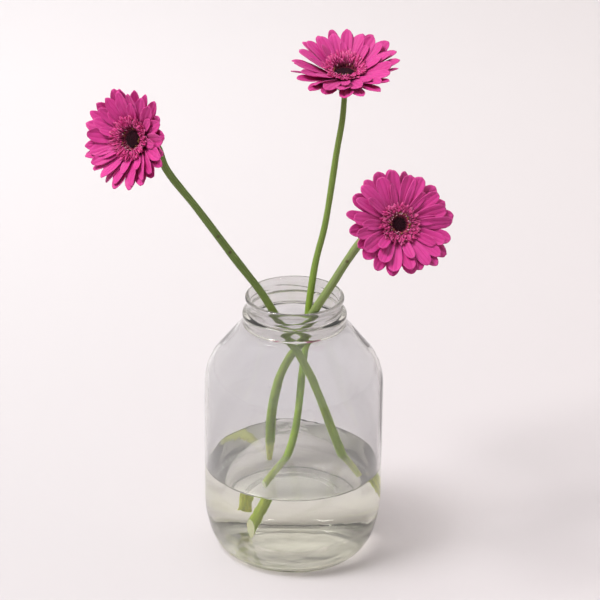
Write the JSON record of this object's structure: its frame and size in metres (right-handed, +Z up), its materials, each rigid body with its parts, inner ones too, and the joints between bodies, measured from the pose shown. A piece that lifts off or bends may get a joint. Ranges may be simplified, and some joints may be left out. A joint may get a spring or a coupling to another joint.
{
  "type": "gerberas in a glass jar",
  "caption": "Cut gerberas with magenta petals and dark centres, leaning in a wide-necked clear glass jar of water.",
  "frame": {"origin": "centre of the jar's foot, on the surface it stands on", "axes": "+Z up the jar's axis, -Y towards the viewer of the picture, +X to the viewer's right"},
  "size_m": [0.2912, 0.2122, 0.4356],
  "materials": {
    "glass": "clear, smooth",
    "water": "clear water, slightly olive",
    "stem": "fresh green stem, finely hairy",
    "rays": "velvety magenta petals with fine lengthwise grooves",
    "ruff": "short magenta florets",
    "eye": "dark unopened florets"
  },
  "bodies": {
    "root": {"jar": "glass", "water": "water", "left_stem": "stem", "left_rays": "rays", "left_ruff": "ruff", "left_eye": "eye", "top_stem": "stem", "top_rays": "rays", "top_ruff": "ruff", "top_eye": "eye", "right_stem": "stem", "right_rays": "rays", "right_ruff": "ruff", "right_eye": "eye"}
  },
  "joints": []
}
